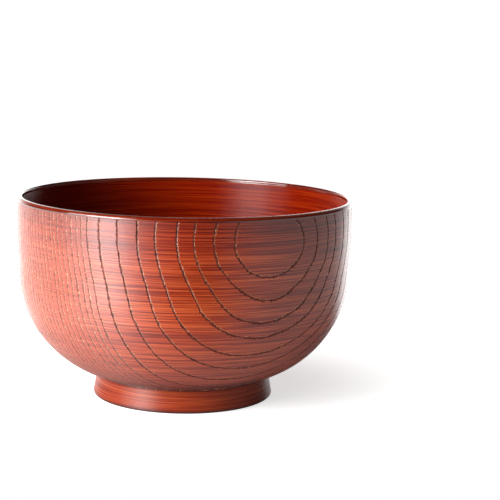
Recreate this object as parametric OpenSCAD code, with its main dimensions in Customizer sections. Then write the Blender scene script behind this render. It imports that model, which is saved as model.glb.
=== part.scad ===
// Round soup bowl on a turned foot ring, wood body under a thin coat of lacquer.
// The origin is on the axis, on the plane that the foot ring stands on, with +Z up.
// Every outline is drawn in the half plane right of the axis and turned about it.

/* [Overall] */
// Outside diameter of the bowl, at the lip
rim_d = 130; // [118:1:144]
// Height from the resting face to the top of the lip
height = 78; // [72:1:92]

/* [Wall] */
// Radius of the round belly, outside
belly_r = 42; // [38:0.5:46]
// Outward lean of the straight upper wall, in degrees
wall_lean = 2; // [0:0.5:5]
// Outward lean of the straight upper wall, inside, in degrees
inner_lean = 4; // [2:0.5:6]
// Wall of the belly, where its inside and outside arcs run side by side
belly_wall = 4; // [3:0.25:6]
// Wood between the floor of the bowl and the hollow under it
base_t = 7.5; // [5:0.5:11]

/* [Lip] */
// Radius of the rounded outer edge of the lip
lip_edge_r = 1; // [0.8:0.1:1.4]
// Radius of the nearly flat crown of the lip
lip_crown_r = 4; // [3:0.5:6]
// Radius of the rounded inner edge of the lip
lip_inner_r = 0.5; // [0.45:0.05:0.7]
// Angle at which the outer edge runs into the crown, in degrees
lip_edge_turn = 75; // [70:1:80]
// Angle at which the crown runs into the inner edge, in degrees
lip_crown_turn = 85; // [83:1:88]
// Height of the smooth band of the lip, from its top
lip_band_h = 1.5; // [1.4:0.1:4]
// How far the thicker lacquer of the lip stands proud of the wall
lip_proud = 0.15; // [0.05:0.05:0.3]

/* [Foot ring] */
// Height of the foot ring, outside
foot_h = 9; // [7:0.5:13]
// Diameter of the foot ring at the resting face, before its edge is rounded
foot_bottom_d = 70.4; // [64:0.4:78]
// Diameter of the foot ring where it meets the belly
foot_top_d = 67.2; // [60:0.4:70]
// Width of the foot ring at the resting face
foot_wall = 4.6; // [3.6:0.2:7]
// Rounding of the outer lower edge
foot_edge_r = 1; // [0.6:0.1:1.6]
// Rounding of the shoulder under the groove
foot_shoulder_r = 0.5; // [0.4:0.1:1]
// Chamfer of the inner lower edge
foot_chamfer = 0.5; // [0.2:0.1:1]
// Depth of the hollow inside the foot ring
recess_h = 5.6; // [4.6:0.2:7]
// Rounding between the wall and the ceiling of that hollow
recess_fillet_r = 1.6; // [0.8:0.2:3]
// Radius of the turned groove between the foot ring and the belly
groove_r = 0.5; // [0.35:0.05:0.8]

/* [Lacquer] */
// Thickness of the ground and the lacquer together
coat = 0.3; // [0.1:0.05:0.35]

/* [Hidden] */

// Flats of a full circle, and the turn of one flat on a wide arc and on an edge
$fn = 180;
wide_turn = 3;
edge_turn = 10;

// Overrun of a cut past the face that it opens
overrun = 1;
// Length of the sloping side of a 45 degree chamfer, as a share of its height
chamfer_side_share = sqrt(2);

// Widest radius and top of the bare form, before the proud lip lacquer
form_r = rim_d / 2 - lip_proud;
form_top = height - lip_proud;

// Steps between the centres of the lip: outer edge to crown, and crown to inner edge
crown_step = (lip_edge_r - lip_crown_r) * [cos(lip_edge_turn), sin(lip_edge_turn)];
inner_step = (lip_crown_r - lip_inner_r) * [cos(lip_crown_turn), sin(lip_crown_turn)];
edge_c = [
  form_r - lip_edge_r,
  form_top - lip_inner_r - crown_step[1] - inner_step[1]
];
crown_c = edge_c + crown_step;
inner_c = crown_c + inner_step;

// Foot ring: slope of its side, and centres of its two roundings and of its groove
foot_bottom_r = foot_bottom_d / 2;
foot_top_r = foot_top_d / 2;
foot_flare = atan((foot_bottom_r - foot_top_r) / foot_h);
function foot_round_c(z, r) =
  [foot_bottom_r - z * tan(foot_flare) - r / cos(foot_flare), z];
foot_edge_c = foot_round_c(foot_edge_r, foot_edge_r);
foot_shoulder_c =
  foot_round_c(foot_h - groove_r - foot_shoulder_r, foot_shoulder_r);
groove_c = [foot_top_r, foot_h];

// Belly: a circle that the upper wall touches and that passes through the groove
wall_out = [cos(wall_lean), -sin(wall_lean)];
wall_up = [sin(wall_lean), cos(wall_lean)];
belly_q = edge_c + (lip_edge_r - belly_r) * wall_out - groove_c;
belly_m = belly_q * wall_up;
belly_run = belly_m - sqrt(belly_m * belly_m - belly_q * belly_q + belly_r * belly_r);
belly_c = groove_c + belly_q - belly_run * wall_up;
belly_from = atan2(groove_c[1] - belly_c[1], groove_c[0] - belly_c[0]);

// Inside: a circle that stands on the floor and that the inner wall touches
floor_z = recess_h + base_t;
hollow_r = belly_r - belly_wall;
hollow_z = floor_z + hollow_r;
hollow_c = [
  inner_c[0]
    - (lip_inner_r + hollow_r + (inner_c[1] - hollow_z) * sin(inner_lean)) / cos(inner_lean),
  hollow_z
];

// Hollow under the bowl
recess_r = foot_bottom_r - foot_wall;
recess_fillet_c = [recess_r - recess_fillet_r, recess_h - recess_fillet_r];

// Planes where one coat of lacquer ends and the next begins
lip_plane = height - lip_band_h;
foot_plane = foot_h;

wood_colour = [0.55, 0.36, 0.2];
outer_colour = [0.62, 0.2, 0.13];
inner_colour = [0.5, 0.08, 0.04];
lip_colour = [0.7, 0.28, 0.2];
foot_colour = [0.66, 0.22, 0.12];
base_colour = [0.4, 0.08, 0.05];

// Points of an arc about a centre, from one angle to another
function arc(c, r, from, to, turn, first = 0) =
  let (n = ceil(abs(to - from) / turn))
  [for (i = [first:n]) c + r * [
    cos(from + (to - from) * i / n),
    sin(from + (to - from) * i / n)
  ]];

// Outside, from the resting face up and over the lip, sunk by depth
function outside(depth) = concat(
  [[foot_edge_c[0], 0]],
  arc(foot_edge_c, foot_edge_r - depth, -90, foot_flare, edge_turn),
  arc(foot_shoulder_c, foot_shoulder_r - depth, foot_flare, 90, edge_turn),
  [[foot_shoulder_c[0] - depth, foot_h]],
  arc(belly_c, belly_r - depth, belly_from, -wall_lean, wide_turn),
  arc(edge_c, lip_edge_r - depth, -wall_lean, 0, edge_turn),
  arc(edge_c, lip_edge_r - depth, 0, lip_edge_turn, edge_turn, 1),
  arc(crown_c, lip_crown_r - depth, lip_edge_turn, lip_crown_turn, edge_turn, 1),
  arc(inner_c, lip_inner_r - depth, lip_crown_turn, 90, edge_turn, 1),
  arc(inner_c, lip_inner_r - depth, 90, 180 - inner_lean, edge_turn, 1)
);

// Inside, from the foot of the straight wall down to the axis, sunk by depth
function inside(depth) = concat(
  arc(hollow_c, hollow_r + depth, -inner_lean, -90, wide_turn),
  [[0, floor_z - depth]]
);

// Underside, from the axis out and down to the resting face, sunk by depth
function underside(depth) =
  let (
    side = recess_r + depth,
    mouth = recess_r + foot_chamfer + depth * chamfer_side_share
  )
  concat(
    [[0, recess_h + depth]],
    arc(recess_fillet_c, recess_fillet_r + depth, 90, 0, edge_turn),
    [[side, mouth - side], [mouth, 0]]
  );

// Turned groove between the foot ring and the belly, sunk by depth
module groove(depth) {
  translate(groove_c) circle(r = groove_r + depth);
}

// Cut through the whole bowl, every surface sunk by depth
module section(depth) {
  difference() {
    polygon(concat(outside(depth), inside(depth), underside(depth)));
    groove(depth);
  }
}

// The bowl as a full form with no hollows, its outside sunk by depth
module full_form(depth) {
  difference() {
    polygon(concat([[0, 0]], outside(depth), [[0, form_top]]));
    groove(depth);
  }
}

// Space inside the bowl up to the plane under the lip, sunk into the wall by depth
module hollow(depth) {
  inner_foot = hollow_c + (hollow_r + depth) * [cos(inner_lean), -sin(inner_lean)];
  rise = lip_plane - inner_foot[1];
  polygon(concat(
    [[0, lip_plane], [inner_foot[0] + rise * tan(inner_lean), lip_plane]],
    inside(depth)
  ));
}

// Space inside the foot ring, sunk into the wood by depth
module recess(depth) {
  polygon(concat([[0, 0]], underside(depth)));
}

// Band between two heights, from the axis out past the lip
module band(from, to) {
  translate([0, from]) square([rim_d, to - from]);
}

// Turned wood body: the wall, the floor and the foot ring in one piece
module wood_body() {
  color(wood_colour)
    rotate_extrude() section(coat);
}

// Coat on the grained outside, from the groove up to the band of the lip
module outer_lacquer() {
  color(outer_colour)
    rotate_extrude()
      intersection() {
        difference() {
          full_form(0);
          full_form(coat);
        }
        band(foot_plane, lip_plane);
      }
}

// Coat on the inside, from the floor up to the band of the lip
module inner_lacquer() {
  color(inner_colour)
    rotate_extrude()
      difference() {
        hollow(coat);
        hollow(0);
      }
}

// Thicker coat over the top of the lip
module lip_lacquer() {
  color(lip_colour)
    rotate_extrude()
      intersection() {
        difference() {
          section(-lip_proud);
          section(coat);
        }
        band(lip_plane, height + overrun);
      }
}

// Coat on the side of the foot ring, down to the ground resting face
module foot_lacquer() {
  color(foot_colour)
    rotate_extrude()
      intersection() {
        difference() {
          full_form(0);
          full_form(coat);
        }
        band(0, foot_plane);
      }
}

// Coat in the hollow under the bowl
module base_lacquer() {
  color(base_colour)
    rotate_extrude()
      difference() {
        recess(coat);
        recess(0);
      }
}

wood_body();
outer_lacquer();
inner_lacquer();
lip_lacquer();
foot_lacquer();
base_lacquer();
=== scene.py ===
import math
from collections import defaultdict

import bmesh
import bpy
from mathutils import Matrix, Vector, noise


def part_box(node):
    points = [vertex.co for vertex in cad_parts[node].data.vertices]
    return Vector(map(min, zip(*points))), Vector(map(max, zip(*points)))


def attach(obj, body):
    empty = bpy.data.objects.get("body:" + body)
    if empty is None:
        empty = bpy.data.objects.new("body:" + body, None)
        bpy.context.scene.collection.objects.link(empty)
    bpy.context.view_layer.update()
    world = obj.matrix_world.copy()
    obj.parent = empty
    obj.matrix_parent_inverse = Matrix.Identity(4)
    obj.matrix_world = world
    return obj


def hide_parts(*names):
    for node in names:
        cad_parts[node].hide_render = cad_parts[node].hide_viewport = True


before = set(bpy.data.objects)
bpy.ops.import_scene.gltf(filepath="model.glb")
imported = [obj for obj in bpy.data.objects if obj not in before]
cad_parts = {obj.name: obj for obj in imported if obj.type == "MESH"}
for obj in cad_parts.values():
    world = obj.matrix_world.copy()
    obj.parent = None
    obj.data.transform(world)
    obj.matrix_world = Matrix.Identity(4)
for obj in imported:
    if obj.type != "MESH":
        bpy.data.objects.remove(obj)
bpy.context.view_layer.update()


# Wood body: one block of ring-porous wood, turned on the lathe to the wall, the floor and the foot ring.
# Its grain shows bare only on the narrow ring that the bowl stands on, ground flat after the last coat.
# The outside of the tree lies right of the front.
ring_facing = math.radians(27)
wood_pale = (0.42, 0.27, 0.14, 1)
wood_deep = (0.17, 0.085, 0.035, 1)
deep_tone = 0.2
pale_tone = 0.75
late_wood_scale = 70.0
late_wood_waver = 3.0
late_wood_share = 0.6
wood_pore_scale = 2600.0
wood_pore_share = 0.5
wood_pore_depth = 0.0001
wood_roughness = 0.6
bump_strength = 0.3


def nodes_of(name):
    """A new node material, with its nodes and the shader that it starts with."""
    material = bpy.data.materials.new(name)
    material.use_nodes = True
    tree = material.node_tree
    return material, tree, tree.nodes["Principled BSDF"]


def add(tree, kind, inputs=None, **settings):
    """A node of one kind, with its settings, and each named input given a number or linked to a socket."""
    node = tree.nodes.new(kind)
    for key, value in settings.items():
        setattr(node, key, value)
    for key, value in (inputs or {}).items():
        if isinstance(value, bpy.types.NodeSocket):
            tree.links.new(value, node.inputs[key])
        else:
            node.inputs[key].default_value = value
    return node


def maths(tree, operation, first, second=0.0, third=0.0):
    """The value of one sum on numbers or sockets."""
    return add(tree, "ShaderNodeMath", {0: first, 1: second, 2: third}, operation=operation).outputs[0]


def speckle(tree, place, scale, detail):
    """A value that wanders from place to place, faster at a larger scale."""
    inputs = {"Vector": place, "Scale": scale, "Detail": detail}
    return add(tree, "ShaderNodeTexNoise", inputs).outputs["Fac"]


def ramp(tree, value, stops):
    """Colours or shades along a value, from a short list of (place, colour)."""
    node = add(tree, "ShaderNodeValToRGB", {"Fac": value})
    band = node.color_ramp
    band.elements.remove(band.elements[1])
    band.elements[0].position, band.elements[0].color = stops[0]
    for place, colour in stops[1:]:
        band.elements.new(place).color = colour
    return node.outputs["Color"]


def roughen(tree, shader, height, depth):
    """Gives a shader's surface a fine relief from a height value."""
    inputs = {"Height": height, "Strength": bump_strength, "Distance": depth}
    tree.links.new(add(tree, "ShaderNodeBump", inputs).outputs[0], shader.inputs["Normal"])


def bare_wood():
    """Wood ground flat: fine pores and darker late wood along the rings."""
    material, tree, shader = nodes_of("bare_wood")
    place = add(tree, "ShaderNodeTexCoord").outputs["Object"]
    facing_out = {"Vector": place, "Rotation": (0, 0, -ring_facing)}
    across_rings = add(tree, "ShaderNodeMapping", facing_out).outputs[0]
    late_wood = add(
        tree,
        "ShaderNodeTexWave",
        {"Vector": across_rings, "Scale": late_wood_scale, "Distortion": late_wood_waver, "Detail": 3.0},
        bands_direction="Y",
    ).outputs["Fac"]
    pores = speckle(tree, place, wood_pore_scale, 4.0)
    late_tone = maths(tree, "MULTIPLY", late_wood, late_wood_share)
    tone = maths(tree, "MULTIPLY_ADD", pores, wood_pore_share, late_tone)
    colour = ramp(tree, tone, [(deep_tone, wood_deep), (pale_tone, wood_pale)])
    tree.links.new(colour, shader.inputs["Base Color"])
    roughen(tree, shader, pores, wood_pore_depth)
    shader.inputs["Roughness"].default_value = wood_roughness
    return material


wood_finish = bare_wood()
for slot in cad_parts["wood_body"].material_slots:
    slot.material = wood_finish


# Outer lacquer: red lacquer wiped over the ground wall, from the turned groove up to the band of the lip.
# It is thin enough that the open grain stays: every line between two rings is a ragged groove in it.
# The brush and the lathe leave fine level streaks all round.
rim_radius = 0.065
rim_height = 0.078
lip_proud = 0.00015
coat = 0.0003
belly_radius = 0.042
wall_lean = math.radians(2)
lip_edge_radius = 0.001
lip_crown_radius = 0.004
lip_inner_radius = 0.0005
lip_edge_turn = math.radians(75)
lip_crown_turn = math.radians(85)
foot_top_radius = 0.0336
groove_radius = 0.0005
outer_low, outer_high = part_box("outer_lacquer")
foot_plane = outer_low.z
lip_plane = outer_high.z
round_steps = 240
wall_row = 0.0007
hidden_row = 0.004
weld_distance = coat / 100
smooth_angle = math.radians(35)

# How far the wall stands proud of its plain outline, as (height, distance) from the top down
wall_swell = ((0.0765, 0.0), (0.0635, 0.00022), (0.049, -0.00006), (0.036, 0.0))


def facing(turn):
    """The unit step in the outline's plane at an angle from straight out."""
    return Vector((math.cos(turn), math.sin(turn)))


crown_step = (lip_edge_radius - lip_crown_radius) * facing(lip_edge_turn)
inner_step = (lip_crown_radius - lip_inner_radius) * facing(lip_crown_turn)
edge_centre = Vector((
    rim_radius - lip_proud - lip_edge_radius,
    rim_height - lip_proud - lip_inner_radius - crown_step.y - inner_step.y,
))
crown_centre = edge_centre + crown_step
lip_inner_centre = crown_centre + inner_step
groove_centre = Vector((foot_top_radius, foot_plane))
wall_out = facing(-wall_lean)
wall_up = facing(math.pi / 2 - wall_lean)
belly_reach = edge_centre + (lip_edge_radius - belly_radius) * wall_out - groove_centre
belly_rise = belly_reach.dot(wall_up)
belly_run = belly_rise - math.sqrt(belly_rise**2 - belly_reach.length_squared + belly_radius**2)
belly_centre = groove_centre + belly_reach - belly_run * wall_up


def arc(centre, radius, start, end, row):
    """Points along an arc of the outline, as (distance from the axis, height), a row apart."""
    count = max(2, math.ceil(abs(end - start) * radius / row))
    return [centre + radius * facing(start + (end - start) * i / count) for i in range(count + 1)]


def line(start, end, row):
    """Points along a straight stretch of the outline, a row apart."""
    count = max(1, math.ceil((end - start).length / row))
    return [start.lerp(end, i / count) for i in range(count + 1)]


def direction(start, end):
    """The angle at which one point of the outline is seen from another."""
    return math.atan2(end.y - start.y, end.x - start.x)


def meet(centre, radius, other_centre, other_radius):
    """The point right of the line between two centres, where their circles meet."""
    gap = other_centre - centre
    along = (radius**2 - other_radius**2 + gap.length_squared) / (2 * gap.length)
    aside = math.sqrt(radius**2 - along**2)
    unit = gap.normalized()
    return centre + along * unit + aside * Vector((unit.y, -unit.x))


def swell(height):
    """How far the turner's hand left the wall proud of its plain outline, at a height."""
    for (high, at_high), (low, at_low) in zip(wall_swell, wall_swell[1:]):
        if low <= height <= high:
            share = (height - low) / (high - low)
            return at_low + (at_high - at_low) * share**2 * (3 - 2 * share)
    return 0.0


def outer_wall(depth, row):
    """Outside of the bowl, from the turned groove up to the band of the lip, sunk by a depth."""
    groove = groove_radius + depth
    belly = belly_radius - depth
    crest = meet(belly_centre, belly, groove_centre, groove)
    groove_end = direction(groove_centre, crest)
    groove_arc = arc(groove_centre, groove, math.pi, groove_end, min(row, groove / 4))
    belly_arc = arc(belly_centre, belly, direction(belly_centre, crest), -wall_lean, row)
    rise = (lip_plane - belly_arc[-1].y) / wall_up.y
    wall = groove_arc + belly_arc[1:] + line(belly_arc[-1], belly_arc[-1] + rise * wall_up, row)[1:]
    return [Vector((point.x + swell(point.y), point.y)) for point in wall]


def turned(name, face, back):
    """A piece turned on the lathe: its outline, face first and back after it, spun about the bowl's axis.

    The attribute along holds how far each point lies along the face, and is below zero on the back.
    """
    bpy.ops.object.select_all(action="DESELECT")
    here = face[0]
    bpy.ops.mesh.primitive_plane_add(size=coat, location=(here.x, 0, here.y))
    piece = bpy.context.object
    piece.name = piece.data.name = name
    bpy.ops.object.transform_apply(location=True, rotation=False, scale=False)
    piece.data.attributes.new("along", "FLOAT", "POINT")
    bpy.ops.object.mode_set(mode="EDIT")
    bpy.ops.mesh.select_mode(type="VERT")
    bpy.ops.mesh.select_all(action="SELECT")
    bpy.ops.mesh.merge(type="CENTER")
    run = 0.0
    for count, point in enumerate(face[1:] + back):
        step = point - here
        bpy.ops.mesh.extrude_region_move(TRANSFORM_OT_translate={"value": (step.x, 0, step.y)})
        run = run + step.length if count < len(face) - 1 else -1.0
        mesh = bmesh.from_edit_mesh(piece.data)
        along = mesh.verts.layers.float["along"]
        for vert in mesh.verts:
            if vert.select:
                vert[along] = run
        here = point
    mesh = bmesh.from_edit_mesh(piece.data)
    mesh.edges.new([vert for vert in mesh.verts if len(vert.link_edges) == 1])
    bpy.ops.mesh.select_all(action="SELECT")
    bpy.ops.mesh.spin(steps=round_steps, angle=math.tau, center=(0, 0, 0), axis=(0, 0, 1))
    bpy.ops.mesh.select_all(action="SELECT")
    bpy.ops.mesh.remove_doubles(threshold=weld_distance)
    bpy.ops.mesh.normals_make_consistent(inside=False)
    bpy.ops.object.mode_set(mode="OBJECT")
    bpy.ops.object.shade_smooth_by_angle(angle=smooth_angle)
    return piece


# Growth rings: upright sheets, slightly bent, whose edges the wall cuts into ovals and close lines.
# Their bends and the wide rings' widths were worked out by a program from the photographed wall.
sheet_half_width = 0.060
sheet_middle = 0.040
sheet_half_height = 0.035
sheet_cup = 0.0021
sheet_lean = 0.0058
sheet_bow = 0.0034
sheet_sway = -0.0058
sheet_twist = 0.0052
sheet_wind = -0.0045
ring_wander = 0.00012
ring_wander_scale = 280.0
first_ring = 0.0671
wide_rings = (0.0019, 0.0025, 0.0026, 0.0040, 0.0039, 0.0050, 0.0054, 0.0041)
close_rings = (
    0.0022, 0.0020, 0.0022, 0.0020, 0.0018, 0.0027,
    0.0022, 0.0024, 0.0025, 0.0022, 0.0019, 0.0023,
)
least_slope = 0.05


def ring_depth(place):
    """How far a point lies towards the outside of the tree, on sheets that follow the growth rings."""
    out_x, out_y = math.sin(ring_facing), -math.cos(ring_facing)
    out = place.x * out_x + place.y * out_y
    across = (place.y * out_x - place.x * out_y) / sheet_half_width
    up = (place.z - sheet_middle) / sheet_half_height
    return (
        out
        + sheet_cup * across**2
        + sheet_lean * up
        + sheet_bow * up**2
        + sheet_sway * up**3
        + sheet_twist * across * up
        + sheet_wind * across * up**2
        + ring_wander * noise.noise(place * ring_wander_scale)
    )


def ring_lines():
    """Depths of the lines between the rings, from the outside of the tree inwards."""
    lines = [first_ring]
    for width in wide_rings:
        lines.append(lines[-1] - width)
    while lines[-1] > -first_ring:
        lines.append(lines[-1] - close_rings[len(lines) % len(close_rings)])
    return lines


def rings_slope(place):
    """How fast the ring depth changes along the wall at a place, the way that it changes most."""
    step = wall_row
    around = Vector((-place.y, place.x, 0)).normalized()
    outline = Vector((math.hypot(place.x, place.y), place.z))
    if place.z < belly_centre.y:
        normal = (outline - belly_centre).normalized()
    else:
        normal = wall_out
    radial = Vector((place.x, place.y, 0)).normalized()
    up = radial * -normal.y + Vector((0, 0, 1)) * normal.x
    change_around = (ring_depth(place + around * step) - ring_depth(place - around * step)) / (2 * step)
    change_up = (ring_depth(place + up * step) - ring_depth(place - up * step)) / (2 * step)
    return max(least_slope, math.hypot(change_around, change_up))


# Grooves along those lines: ragged where the pores of the early wood break out, and fading out over the foot
line_half_width = 0.0004
line_depth = 0.00024
line_reach = 0.003
thin_line_share = 0.55
wide_ring = 0.0042
line_start = 0.0105
line_fade = 0.004
line_rag_scale = 900.0
line_patch_scale = 110.0
rag_width_share = 0.55
patch_width_share = 0.35
low_width_share = 0.45
even_depth_share = 0.8
rag_depth_share = 0.35
low_depth_share = 0.35
line_rag_shift = 31.0
side_rag_shift = 7.0
line_patch_shift = 5.0


def line_share(gap):
    """How wide and deep a groove is, as a share of the widest, from the width of its ring."""
    return min(1.0, max(thin_line_share, gap / wide_ring))


def fading(height, low_share):
    """How much of a groove is left at a height, from a low share at its start up to the whole."""
    fade = min(1.0, max(0.0, (height - line_start) / line_fade))
    return low_share + (1 - low_share) * fade


def line_width(place, number, side):
    """Half of a groove's width at a place, on one of its sides."""
    rag_shift = Vector((0, 0, line_rag_shift * number + side_rag_shift * side))
    patch_shift = Vector((line_patch_shift * number, 0, 0))
    rag = noise.noise(place * line_rag_scale + rag_shift)
    patch = noise.noise(place * line_patch_scale + patch_shift)
    ragged = 1 + rag_width_share * rag + patch_width_share * patch
    return line_half_width * ragged * fading(place.z, low_width_share)


def line_sink(place, gap):
    """How deep the middle of a groove is sunk at a place, from the width of its ring."""
    rag = noise.noise(place * line_rag_scale)
    ragged = even_depth_share + rag_depth_share * rag
    return line_depth * line_share(gap) * ragged * fading(place.z, low_depth_share)


def cut_lines(piece):
    """Cuts a groove into the outside along every line between two rings."""
    lines = ring_lines()
    gaps = [outer - inner for outer, inner in zip(lines, lines[1:])]
    mesh = bmesh.new()
    mesh.from_mesh(piece.data)
    along = mesh.verts.layers.float["along"]
    ring = mesh.verts.layers.float.new("ring")
    ring_width = mesh.verts.layers.float.new("ring_width")
    face_verts = {vert for vert in mesh.verts if vert[along] >= 0 and vert.co.z > line_start}

    def offsets(vert):
        """Every groove near a point, with the point's signed distance from its two rims and its middle."""
        found = {}
        depth = ring_depth(vert.co)
        slope = rings_slope(vert.co)
        for number, gap in enumerate(gaps):
            off = depth - lines[number]
            if abs(off) < line_reach:
                share = line_share(gap) * slope
                found[number, -1] = off + line_width(vert.co, number, -1) * share
                found[number, 0] = off
                found[number, 1] = off - line_width(vert.co, number, 1) * share
        return found

    near = {vert: offsets(vert) for vert in face_verts}

    # New corners, where a groove's rims and its middle cross the edges of the mesh
    cut = {}
    for edge in [edge for edge in mesh.edges if face_verts.issuperset(edge.verts)]:
        start, end = edge.verts
        crossings = []
        for key in near[start].keys() & near[end].keys():
            before, after = near[start][key], near[end][key]
            if before * after < 0:
                crossings.append((before / (before - after), key))
        done = 0.0
        corner = start
        rest = edge
        for share, key in sorted(crossings):
            corner = bmesh.utils.edge_split(rest, corner, (share - done) / (1 - done))[1]
            rest = next(part for part in corner.link_edges if end in part.verts)
            cut[corner] = key
            done = share

    # New edges along the grooves, between two corners of the same rim or middle
    for face in dict.fromkeys(face for vert in cut for face in vert.link_faces):
        by_line = defaultdict(list)
        for vert in face.verts:
            if vert in cut:
                by_line[cut[vert]].append(vert)
        pairs = [(key, verts) for key, verts in by_line.items() if len(verts) == 2]
        for _, (one, other) in sorted(pairs, key=lambda pair: pair[0]):
            shared = [part for part in one.link_faces if other in part.verts]
            if shared and not any(other in part.verts for part in one.link_edges):
                bmesh.utils.face_split(shared[0], one, other)
    for edge in mesh.edges:
        key, other_key = (cut.get(vert) for vert in edge.verts)
        if key and key == other_key and key[1] != 0:
            edge.smooth = False
    mesh.normal_update()

    # Each point's place among the rings, read before the grooves are sunk, for the material
    sunk = {vert: line_sink(vert.co, gaps[number]) for vert, (number, side) in cut.items() if side == 0}
    for vert in mesh.verts:
        depth = ring_depth(vert.co)
        inner = sum(level > depth for level in lines)
        inner = min(max(inner, 1), len(gaps))
        vert[ring] = inner - 1 + (lines[inner - 1] - depth) / gaps[inner - 1]
        vert[ring_width] = gaps[inner - 1] / rings_slope(vert.co)
    for vert, depth in sunk.items():
        radial = Vector((vert.co.x, vert.co.y, 0)).normalized()
        out = vert.normal if vert.co.z < lip_plane - wall_row else radial
        vert.co -= out * depth
    mesh.to_mesh(piece.data)
    mesh.free()
    piece.data.update()


# Lacquer: three reds from thick to thin, and streaks as (scale round, scale across, detail, shift)
outer_reds = ((0.22, 0.010, 0.001, 1), (0.48, 0.043, 0.004, 1), (0.74, 0.125, 0.032, 1))
shade_tones = (0.38, 0.5, 0.62)
broad_streaks = (14.0, 500.0, 1.0, 0.0)
fine_streaks = (26.0, 3300.0, 0.0, 40.0)
hair_streaks = (50.0, 4400.0, 1.0, 90.0)
broad_share = 0.04
fine_share = 0.5
hair_share = 0.46
fine_relief_share = 0.6
hair_relief_share = 0.4
streak_depth = 0.0002
lacquer_ior = 1.55
brush_turn = 0.25

# Painted shade and painted dark reflection on the outer coat by height, multiplied into its reds: darker
# just over the foot and under the lip
shade_reach = 0.1
outer_painted_shade = [
    (0.0095, (0.28, 0.10, 0.07, 1)),
    (0.0118, (0.42, 0.20, 0.14, 1)),
    (0.0142, (0.86, 0.82, 0.80, 1)),
    (0.026, (0.90, 0.86, 0.84, 1)),
    (0.040, (1.0, 1.0, 1.0, 1)),
    (0.052, (0.95, 1.0, 1.0, 1)),
    (0.063, (0.85, 0.76, 0.70, 1)),
    (0.072, (0.62, 0.40, 0.30, 1)),
    (0.077, (0.45, 0.26, 0.18, 1)),
]

# Open grain: a dark core in each groove, a tan edge beside it, partly wear where the pale wood shows and
# partly a painted highlight of the groove's lit wall on one side, and calmer streaks between close lines
line_dark = (0.09, 0.006, 0.001, 1)
line_wear_and_highlight = (0.64, 0.30, 0.13, 1)
calm_widths = (0.0018, 0.0036)
calm_share = 0.6
pore_scale = 1300.0
pore_reach = 0.0020
chip_scale = 1500.0
core_shift = 0.00008
core_rim = (0.00025, 0.00042)
close_ring = 0.0022
close_core_share = 0.6
open_chips = (0.36, 0.50)
shut_share = 0.5
faint_widths = (0.0016, 0.0034)
faint_share = 0.8
wear_and_highlight_near = (-0.00058, -0.00040)
wear_and_highlight_far = (0.00005, 0.00050)
wear_and_highlight_chips = (0.44, 0.60)
wear_and_highlight_shares = (0.1, 0.85)
core_roughness = 0.5


def between(tree, value, low, high, at_low, at_high):
    """A value that goes smoothly from one level to another while a second value goes from low to high."""
    inputs = {"Value": value, "From Min": low, "From Max": high, "To Min": at_low, "To Max": at_high}
    return add(tree, "ShaderNodeMapRange", inputs, interpolation_type="SMOOTHSTEP").outputs[0]


def blend(tree, amount, first, second, kind="MIX"):
    """A colour between two others, or one laid over the other."""
    node = tree.nodes.new("ShaderNodeMix")
    node.data_type = "RGBA"
    node.blend_type = kind
    for key, value in (("Factor", amount), ("A", first), ("B", second)):
        if isinstance(value, bpy.types.NodeSocket):
            tree.links.new(value, node.inputs[key])
        else:
            node.inputs[key].default_value = value
    return next(out for out in node.outputs if out.type == "RGBA")


def attribute(tree, name):
    """A value that the mesh holds at each of its points."""
    return add(tree, "ShaderNodeAttribute", attribute_name=name).outputs["Fac"]


def streaks(tree, place, around, across, detail, shift):
    """Level streaks, long round the bowl and narrow across it."""
    x = maths(tree, "MULTIPLY", place["X"], around)
    y = maths(tree, "MULTIPLY", place["Y"], around)
    z = maths(tree, "MULTIPLY_ADD", attribute(tree, "along"), across, shift)
    drawn = add(tree, "ShaderNodeCombineXYZ", {"X": x, "Y": y, "Z": z}).outputs[0]
    return speckle(tree, drawn, 1.0, detail)


def open_grain(tree, place, width, colour):
    """The grooves' cores and their worn edges with a painted highlight on one side, laid over a colour, and
    how far inside a core each point is.
    """
    ring = attribute(tree, "ring")
    off = maths(tree, "MULTIPLY", maths(tree, "SUBTRACT", ring, maths(tree, "ROUND", ring)), width)
    pores = maths(tree, "SUBTRACT", speckle(tree, place, pore_scale, 3.0), 0.5)
    chips = speckle(tree, place, chip_scale, 1.0)
    away = maths(tree, "MULTIPLY_ADD", pores, pore_reach, off)
    near_edge = between(tree, away, *wear_and_highlight_near, 0.0, 1.0)
    far_edge = between(tree, away, *wear_and_highlight_far, 1.0, 0.0)
    wear_and_highlight = maths(tree, "MULTIPLY", near_edge, far_edge)
    wear_and_highlight = maths(tree, "MULTIPLY", wear_and_highlight, between(tree, chips, *wear_and_highlight_chips, *wear_and_highlight_shares))
    colour = blend(tree, wear_and_highlight, colour, line_wear_and_highlight)
    core = maths(tree, "ABSOLUTE", maths(tree, "SUBTRACT", away, core_shift))
    core = maths(tree, "DIVIDE", core, between(tree, width, close_ring, wide_ring, close_core_share, 1.0))
    inside = between(tree, core, *core_rim, 1.0, 0.0)
    opened = between(tree, chips, *open_chips, shut_share, 1.0)
    opened = maths(tree, "MULTIPLY", opened, between(tree, width, *faint_widths, faint_share, 1.0))
    return blend(tree, maths(tree, "MULTIPLY", inside, opened), colour, line_dark), inside


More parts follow.
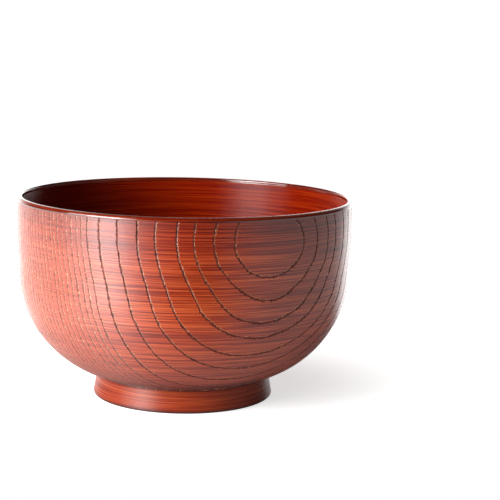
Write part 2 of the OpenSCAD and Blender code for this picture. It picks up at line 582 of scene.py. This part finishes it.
def lacquer(name, reds, shade_bands=None, grained=False, roughness=0.36, gloss=1.0, brushed=0.9):
    """Red lacquer: level streaks of thin and thick colour, under a soft brushed gloss."""
    material, tree, shader = nodes_of(name)
    place = add(tree, "ShaderNodeTexCoord").outputs["Object"]
    lengths = add(tree, "ShaderNodeSeparateXYZ", {"Vector": place}).outputs
    broad = streaks(tree, lengths, *broad_streaks)
    fine = streaks(tree, lengths, *fine_streaks)
    hair = streaks(tree, lengths, *hair_streaks)
    tone = maths(tree, "MULTIPLY_ADD", fine, fine_share, maths(tree, "MULTIPLY", broad, broad_share))
    tone = maths(tree, "MULTIPLY_ADD", hair, hair_share, tone)
    colour = ramp(tree, tone, list(zip(shade_tones, reds)))
    if grained:
        width = attribute(tree, "ring_width")
        colour = blend(tree, between(tree, width, *calm_widths, calm_share, 0.0), colour, reds[1])
    # Painted shade by height, multiplied into the reds, where bands of painted shade are given
    if shade_bands:
        stops = [(height / shade_reach, shade) for height, shade in shade_bands]
        band = ramp(tree, maths(tree, "MULTIPLY", lengths["Z"], 1 / shade_reach), stops)
        colour = blend(tree, 1.0, colour, band, kind="MULTIPLY")
    if grained:
        colour, inside = open_grain(tree, place, width, colour)
        rough = maths(tree, "MULTIPLY_ADD", inside, core_roughness, roughness)
        tree.links.new(rough, shader.inputs["Roughness"])
    tree.links.new(colour, shader.inputs["Base Color"])
    hair_relief = maths(tree, "MULTIPLY", hair, hair_relief_share)
    roughen(tree, shader, maths(tree, "MULTIPLY_ADD", fine, fine_relief_share, hair_relief), streak_depth)
    tangent = add(tree, "ShaderNodeTangent", direction_type="RADIAL", axis="Z")
    tree.links.new(tangent.outputs[0], shader.inputs["Tangent"])
    shader.inputs["Roughness"].default_value = roughness
    shader.inputs["IOR"].default_value = lacquer_ior
    shader.inputs["Specular IOR Level"].default_value = gloss
    shader.inputs["Anisotropic"].default_value = brushed
    shader.inputs["Anisotropic Rotation"].default_value = brush_turn
    return material


outer = turned("outer_coat", outer_wall(0, wall_row), outer_wall(coat, hidden_row)[::-1])
cut_lines(outer)
outer.data.materials.append(lacquer("outer_red", outer_reds, shade_bands=outer_painted_shade, grained=True))
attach(outer, "root")
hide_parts("outer_lacquer")


# Inner lacquer: the same red, brushed smooth from the floor up to the lip, with no grain left open.
# Its reds are darker than the outside's, as painted shade inside the bowl, and its gloss is duller.
inner_lean = math.radians(4)
inner_up = facing(math.pi / 2 - inner_lean)
belly_wall = 0.004
hollow_radius = belly_radius - belly_wall
floor_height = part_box("inner_lacquer")[0].z + coat
lip_rise = lip_inner_centre.y - floor_height - hollow_radius
lip_reach = (lip_inner_radius + hollow_radius + lip_rise * math.sin(inner_lean)) / math.cos(inner_lean)
hollow_centre = Vector((lip_inner_centre.x - lip_reach, floor_height + hollow_radius))
inner_row = 0.0015
inner_shaded_reds = ((0.19, 0.006, 0.001, 1), (0.29, 0.012, 0.001, 1), (0.40, 0.032, 0.002, 1))
inner_gloss = 0.2


def inner_wall(depth, row):
    """Inside of the bowl, from the axis over the floor and up to the band of the lip, sunk by a depth."""
    floor_edge = Vector((hollow_centre.x, floor_height - depth))
    bend = arc(hollow_centre, hollow_radius + depth, -math.pi / 2, -inner_lean, row)
    rise = (lip_plane - bend[-1].y) / inner_up.y
    floor = line(Vector((0, floor_edge.y)), floor_edge, row)
    return floor + bend[1:] + line(bend[-1], bend[-1] + rise * inner_up, row)[1:]


inner = turned("inner_coat", inner_wall(0, inner_row), inner_wall(coat, hidden_row)[::-1])
inner.data.materials.append(lacquer("inner_red", inner_shaded_reds, gloss=inner_gloss))
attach(inner, "root")
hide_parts("inner_lacquer")


# Lip lacquer: the coat is built up thicker over the top of the wall, where it wears most, and polished.
# A round outer edge runs into a nearly flat crown, which ends in a small round edge at the inside.
lip_row = 0.00012
lip_reds = ((0.12, 0.004, 0.001, 1), (0.30, 0.022, 0.002, 1), (0.48, 0.060, 0.010, 1))
# Painted shade on the lip's round outer edge, darkest low down, multiplied into its reds
lip_painted_shade = [
    (0.0764, (0.50, 0.35, 0.35, 1)),
    (0.0772, (0.60, 0.45, 0.45, 1)),
    (0.07765, (1.0, 1.0, 1.0, 1)),
]
lip_roughness = 0.12
lip_brushed = 0.4


def lip_form(depth, row):
    """Over the lip, from the outer wall across the crown and down to the inner wall, sunk by a depth."""
    edge = lip_edge_radius - depth
    crown = lip_crown_radius - depth
    inside = lip_inner_radius - depth
    wall_end = edge_centre + edge * wall_out
    over = [wall_end - (wall_end.y - lip_plane) / wall_up.y * wall_up]
    over += arc(edge_centre, edge, -wall_lean, lip_edge_turn, row)
    over += arc(crown_centre, crown, lip_edge_turn, lip_crown_turn, row)[1:]
    over += arc(lip_inner_centre, inside, lip_crown_turn, math.pi - inner_lean, row / 2)[1:]
    return over + line(over[-1], over[-1] + (lip_plane - over[-1].y) / inner_up.y * inner_up, row)[1:]


lip = turned("lip_coat", lip_form(-lip_proud, lip_row), lip_form(coat, hidden_row)[::-1])
lip_finish = lacquer("lip_red", lip_reds, shade_bands=lip_painted_shade, roughness=lip_roughness, brushed=lip_brushed)
lip.data.materials.append(lip_finish)
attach(lip, "root")
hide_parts("lip_lacquer")


# Foot lacquer: the red coat down the side of the foot ring, ending in the flat ring that was ground.
# It is duller than the wall, with painted shade under the groove and a painted contact shadow along the
# lower edge.
foot_radius = 0.0352
foot_edge_radius = 0.001
foot_shoulder_radius = 0.0005
foot_flare = math.atan((foot_radius - foot_top_radius) / foot_plane)
foot_row = 0.0004
foot_reds = ((0.25, 0.017, 0.003, 1), (0.40, 0.044, 0.008, 1), (0.54, 0.090, 0.024, 1))
foot_painted_shade = [
    (0.0005, (0.10, 0.05, 0.04, 1)),
    (0.0013, (0.85, 0.80, 0.80, 1)),
    (0.0030, (1.0, 1.0, 1.0, 1)),
    (0.0083, (1.0, 1.0, 1.0, 1)),
    (0.0088, (0.30, 0.12, 0.08, 1)),
]
foot_roughness = 0.45
foot_gloss = 0.6


def foot_centre(height, radius):
    """Centre of a rounding of the foot ring's side, at a height."""
    return Vector((foot_radius - height * math.tan(foot_flare) - radius / math.cos(foot_flare), height))


def foot_side(depth, row):
    """Side of the foot ring, from the resting face up to the turned groove, sunk by a depth."""
    low_centre = foot_centre(foot_edge_radius, foot_edge_radius)
    high_centre = foot_centre(foot_plane - groove_radius - foot_shoulder_radius, foot_shoulder_radius)
    groove = groove_radius + depth
    start = [Vector((low_centre.x, 0))] if depth else []
    bottom = arc(low_centre, foot_edge_radius - depth, -math.pi / 2, foot_flare, row / 2)
    shoulder = arc(high_centre, foot_shoulder_radius - depth, foot_flare, math.pi / 2, row / 5)
    step = (Vector((high_centre.x - depth, foot_plane)) - shoulder[-1]).normalized()
    to_groove = groove_centre - shoulder[-1]
    ahead = to_groove.dot(step)
    climb = ahead - math.sqrt(ahead**2 - to_groove.length_squared + groove**2)
    groove_start = direction(groove_centre, shoulder[-1] + climb * step) % math.tau
    groove_arc = arc(groove_centre, groove, groove_start, math.pi, row / 5)
    return start + bottom + line(bottom[-1], shoulder[0], row)[1:] + shoulder[1:] + groove_arc


foot = turned("foot_coat", foot_side(0, foot_row), foot_side(coat, hidden_row)[::-1])
foot_finish = lacquer("foot_red", foot_reds, shade_bands=foot_painted_shade, roughness=foot_roughness, gloss=foot_gloss)
foot.data.materials.append(foot_finish)
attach(foot, "root")
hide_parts("foot_lacquer")


# Base lacquer: a plain coat in the hollow under the bowl, over its ceiling and down to the chamfer.
# It is brushed on in the outer coat's reds, round and round on the lathe.
foot_wall = 0.0046
foot_chamfer = 0.0005
recess_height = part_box("base_lacquer")[1].z - coat
recess_fillet = 0.0016


def underside(depth, row):
    """Hollow in the foot ring, from the axis out over the ceiling and down to the ground ring."""
    recess_radius = foot_radius - foot_wall
    side = recess_radius + depth
    mouth = recess_radius + foot_chamfer + depth * math.sqrt(2)
    ceiling_height = recess_height + depth
    fillet_centre = Vector((recess_radius - recess_fillet, recess_height - recess_fillet))
    ceiling = line(Vector((0, ceiling_height)), Vector((fillet_centre.x, ceiling_height)), row)
    fillet = arc(fillet_centre, recess_fillet + depth, math.pi / 2, 0, row)
    wall = line(fillet[-1], Vector((side, mouth - side)), row)
    return ceiling + fillet[1:] + wall[1:] + [Vector((mouth, 0))]


base = turned("base_coat", underside(0, foot_row), underside(coat, hidden_row)[::-1])
base.data.materials.append(lacquer("base_red", outer_reds))
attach(base, "root")
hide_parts("base_lacquer")


# Floor: a round white sheet, just under the ring that the bowl stands on.
# Towards its rim it glows as white as the room, so that no rim shows.
# For reflections it glows as painted light, brighter on the left where the lamp lights it, with a painted
# shadow close to the foot, so the lacquer mirrors it more on the left than on the right, and least close to
# the foot.
floor_drop = 0.00005
floor_radius = 0.12
floor_sides = 96
floor_centre = (0.02, 0.02, 0)
floor_colour = (0.85, 0.85, 0.85, 1)
floor_roughness = 0.9
glow_ring = (0.02, 0.085)
middle_glow = 0.62
shine_span = (-0.09, 0.03)
shine_levels = (0.75, 0.08)
foot_shadow_ring = (0.036, 0.070)
shadowed_shine_share = 0.1
bpy.ops.object.select_all(action="DESELECT")
bpy.ops.mesh.primitive_circle_add(
    vertices=floor_sides, radius=floor_radius, fill_type="NGON", location=floor_centre
)
bpy.ops.transform.translate(value=(0, 0, -floor_drop))
bpy.ops.object.transform_apply(location=True, rotation=False, scale=False)
floor = bpy.context.object
floor.name = "floor"
floor_finish, tree, shader = nodes_of("white_sheet")
shader.inputs["Base Color"].default_value = floor_colour
shader.inputs["Roughness"].default_value = floor_roughness
shader.inputs["Specular IOR Level"].default_value = 0.0
rays = add(tree, "ShaderNodeLightPath").outputs
place = add(tree, "ShaderNodeTexCoord").outputs["Object"]
from_middle = add(tree, "ShaderNodeVectorMath", {0: place, 1: floor_centre}, operation="SUBTRACT").outputs[0]
away = add(tree, "ShaderNodeVectorMath", {0: from_middle}, operation="LENGTH").outputs["Value"]
glow = between(tree, away, *glow_ring, middle_glow, 1.0)
lengths = add(tree, "ShaderNodeSeparateXYZ", {"Vector": place}).outputs
from_axis = add(tree, "ShaderNodeVectorMath", {0: place}, operation="LENGTH").outputs["Value"]
shine = between(tree, lengths["X"], *shine_span, *shine_levels)
# Painted shadow of the bowl in the floor's glow for reflections, close to the foot
shine = maths(tree, "MULTIPLY", shine, between(tree, from_axis, *foot_shadow_ring, shadowed_shine_share, 1.0))
seen = maths(tree, "MULTIPLY", rays["Is Camera Ray"], glow)
mirrored = maths(tree, "MULTIPLY", rays["Is Glossy Ray"], shine)
shader.inputs["Emission Color"].default_value = (1, 1, 1, 1)
tree.links.new(maths(tree, "ADD", seen, mirrored), shader.inputs["Emission Strength"])
floor.data.materials.append(floor_finish)


# Camera: at the photograph's angle and distance, a little above the rim.
# Its place, its turns and its focal length were fitted to the bowl's outline there.
camera_place = Vector((0, -0.5766, 0.149))
camera_yaw = 0.0441
camera_pitch = 0.1582
camera_roll = 0.0228
camera_focal_pixels = 1494.9
picture_pixels = 500
sensor = 36.0
near_clip = 0.01
forward = Vector((
    math.sin(camera_yaw) * math.cos(camera_pitch),
    math.cos(camera_yaw) * math.cos(camera_pitch),
    -math.sin(camera_pitch),
))
level_right = Vector((math.cos(camera_yaw), -math.sin(camera_yaw), 0))
level_up = level_right.cross(forward)
right = math.cos(camera_roll) * level_right + math.sin(camera_roll) * level_up
up = math.cos(camera_roll) * level_up - math.sin(camera_roll) * level_right
camera_data = bpy.data.cameras.new("camera")
camera_data.sensor_width = sensor
camera_data.lens = camera_focal_pixels / picture_pixels * sensor
camera_data.clip_start = near_clip
camera = bpy.data.objects.new("camera", camera_data)
camera.matrix_world = Matrix.Translation(camera_place) @ Matrix((right, up, -forward)).transposed().to_4x4()
bpy.context.scene.collection.objects.link(camera)
bpy.context.scene.camera = camera


# Light: a wide soft lamp on the left and a smaller, brighter one beside its middle, in a white room.
# The room glows low down on the left, fainter low down on the right, and at the back.
# It is dark above and in front of the bowl.
bowl_middle = Vector((0, 0, rim_height / 2))
low_band = (-0.05, 0.08)
back_lean = 0.7
left_span = (-0.6, 0.4)
left_glow = 2.3
right_span = (0.2, 0.8)
right_glow = 0.7
faint_glow = 0.05
back_span = (0.6, 0.9)
back_glow = 2.7
back_fall = [(0.14, (1, 1, 1, 1)), (0.34, (0.12, 0.12, 0.12, 1)), (0.66, (0, 0, 0, 1))]
room_glow = 0.03


def soft_light(name, azimuth, elevation, distance, width, height, radiance):
    """A soft light that faces the bowl; azimuth 0 is at the front and a minus sign is to the left."""
    data = bpy.data.lights.new(name, "AREA")
    data.shape = "RECTANGLE"
    data.size = width
    data.size_y = height
    data.energy = radiance * math.pi * width * height
    lamp = bpy.data.objects.new(name, data)
    turn, lift = math.radians(azimuth), math.radians(elevation)
    out = Vector((math.sin(turn) * math.cos(lift), -math.cos(turn) * math.cos(lift), math.sin(lift)))
    lamp.location = bowl_middle + out * distance
    lamp.rotation_euler = out.to_track_quat("Z", "Y").to_euler()
    bpy.context.scene.collection.objects.link(lamp)


soft_light("key_light", azimuth=-58, elevation=21, distance=0.9, width=0.8, height=0.6, radiance=4.8)
soft_light("key_core", azimuth=-54, elevation=17, distance=0.9, width=0.36, height=0.3, radiance=13.0)

world = bpy.data.worlds.new("white_room")
bpy.context.scene.world = world
world.use_nodes = True
tree = world.node_tree
background = tree.nodes["Background"]
rays = add(tree, "ShaderNodeLightPath").outputs
looking = add(tree, "ShaderNodeTexCoord").outputs["Generated"]
looking = add(tree, "ShaderNodeSeparateXYZ", {"Vector": looking}).outputs
left_back = maths(tree, "SUBTRACT", maths(tree, "MULTIPLY", looking["Y"], back_lean), looking["X"])
low_left = between(tree, left_back, *left_span, faint_glow, left_glow)
low_right = between(tree, looking["X"], *right_span, faint_glow, right_glow)
below = between(tree, looking["Z"], *low_band, 1.0, 0.0)
low_room = maths(tree, "MULTIPLY", maths(tree, "MAXIMUM", low_left, low_right), below)
backdrop = maths(tree, "MULTIPLY", ramp(tree, looking["Z"], back_fall), back_glow)
backdrop = maths(tree, "MULTIPLY", between(tree, looking["Y"], *back_span, 0.0, 1.0), backdrop)
room = maths(tree, "ADD", maths(tree, "MAXIMUM", low_room, backdrop), room_glow)
clear = maths(tree, "MAXIMUM", rays["Is Camera Ray"], rays["Is Transmission Ray"])
strength = maths(tree, "MULTIPLY_ADD", clear, maths(tree, "SUBTRACT", 1.0, room), room)
tree.links.new(strength, background.inputs["Strength"])
background.inputs["Color"].default_value = (1, 1, 1, 1)

bpy.context.scene.view_settings.view_transform = "Standard"
